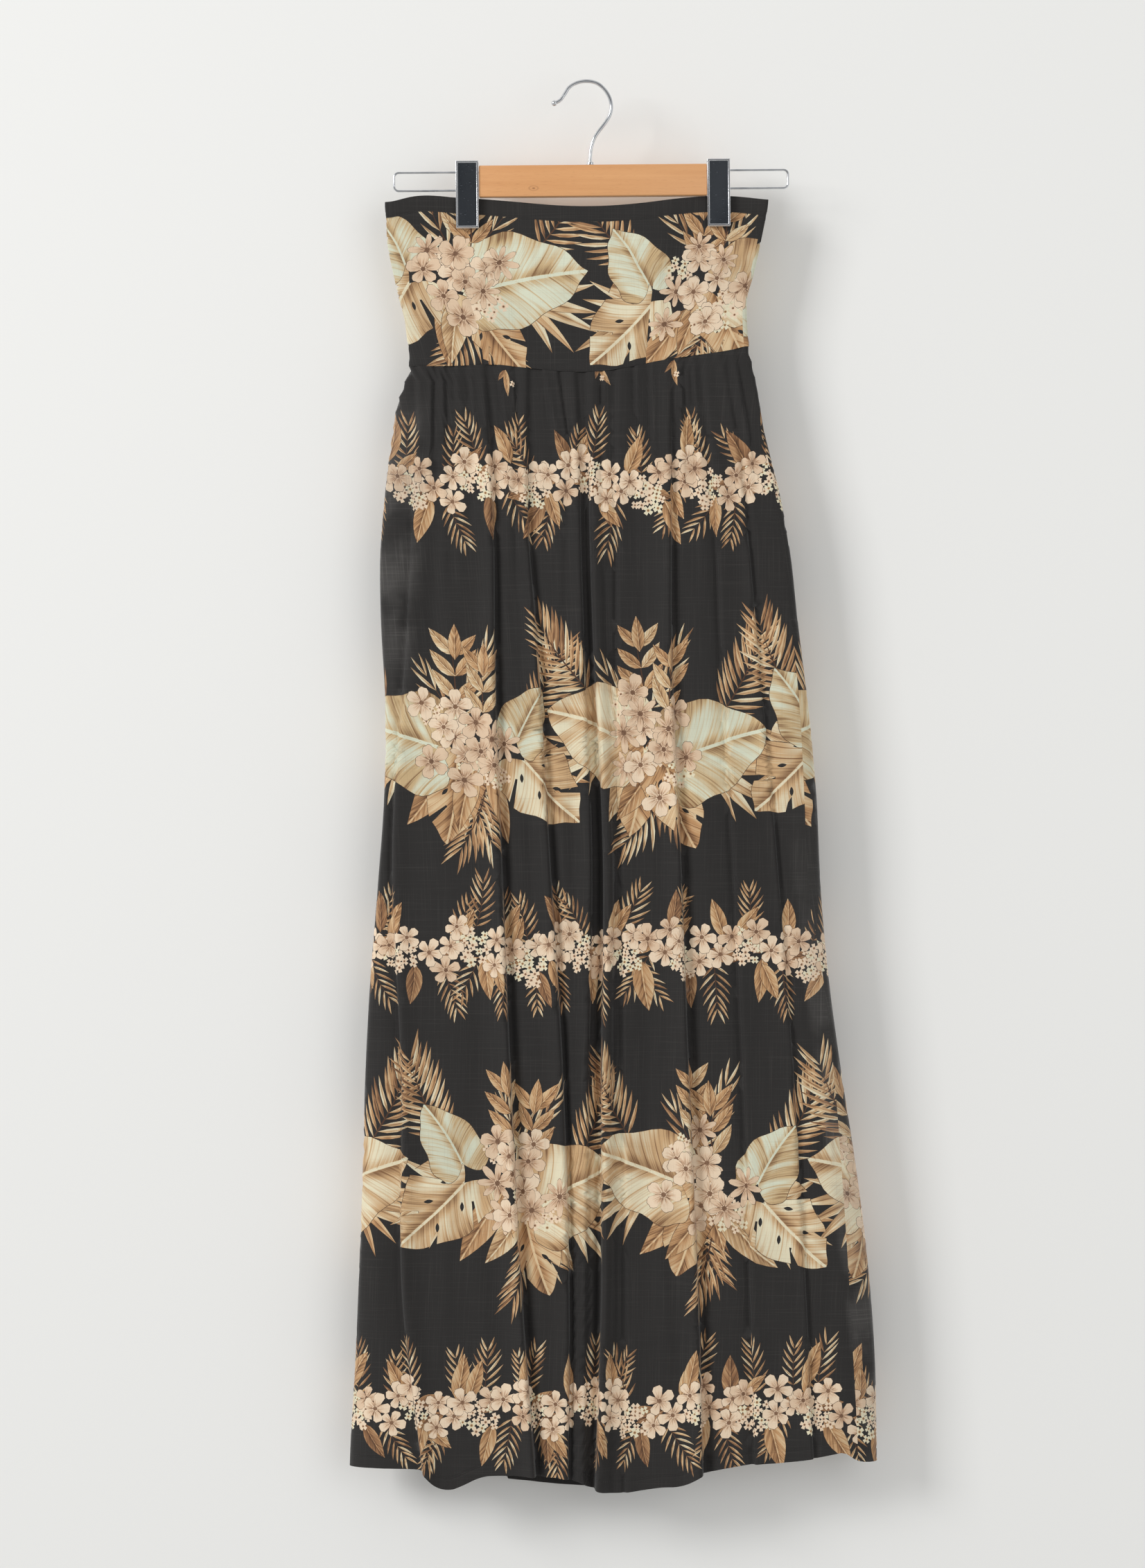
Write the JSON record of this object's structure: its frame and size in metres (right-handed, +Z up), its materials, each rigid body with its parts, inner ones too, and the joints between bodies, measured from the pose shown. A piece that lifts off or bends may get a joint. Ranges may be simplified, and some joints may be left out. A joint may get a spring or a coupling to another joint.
{
  "type": "maxi dress on clip hanger",
  "caption": "Strapless maxi dress with a darted bodice, a turned top casing and a long pleated skirt, pinched at its top edge by the clips of a wooden bar hanger with a wire hook.",
  "frame": {"origin": "inside top of the hanger's hook, where it hangs on a rail", "axes": "+Z up, +X to the right of someone who faces the dress's front, -Y out of its front"},
  "size_m": [0.5193, 0.0713, 1.3843],
  "materials": {
    "printed_voile": "sheer matte voile, black with a tan and cream flower and leaf print",
    "lacquered_wood": "satin clear lacquer on light wood",
    "chrome_wire": "polished",
    "chrome_plate": "polished, lightly scratched"
  },
  "bodies": {
    "root": {"bodice_front": "printed_voile", "bodice_back": "printed_voile", "skirt_front": "printed_voile", "skirt_back": "printed_voile", "hanger_bar": "lacquered_wood", "hook": "chrome_wire", "wire_loop_left": "chrome_wire", "wire_loop_right": "chrome_wire", "clip_left": "chrome_plate", "clip_right": "chrome_plate"}
  },
  "joints": []
}
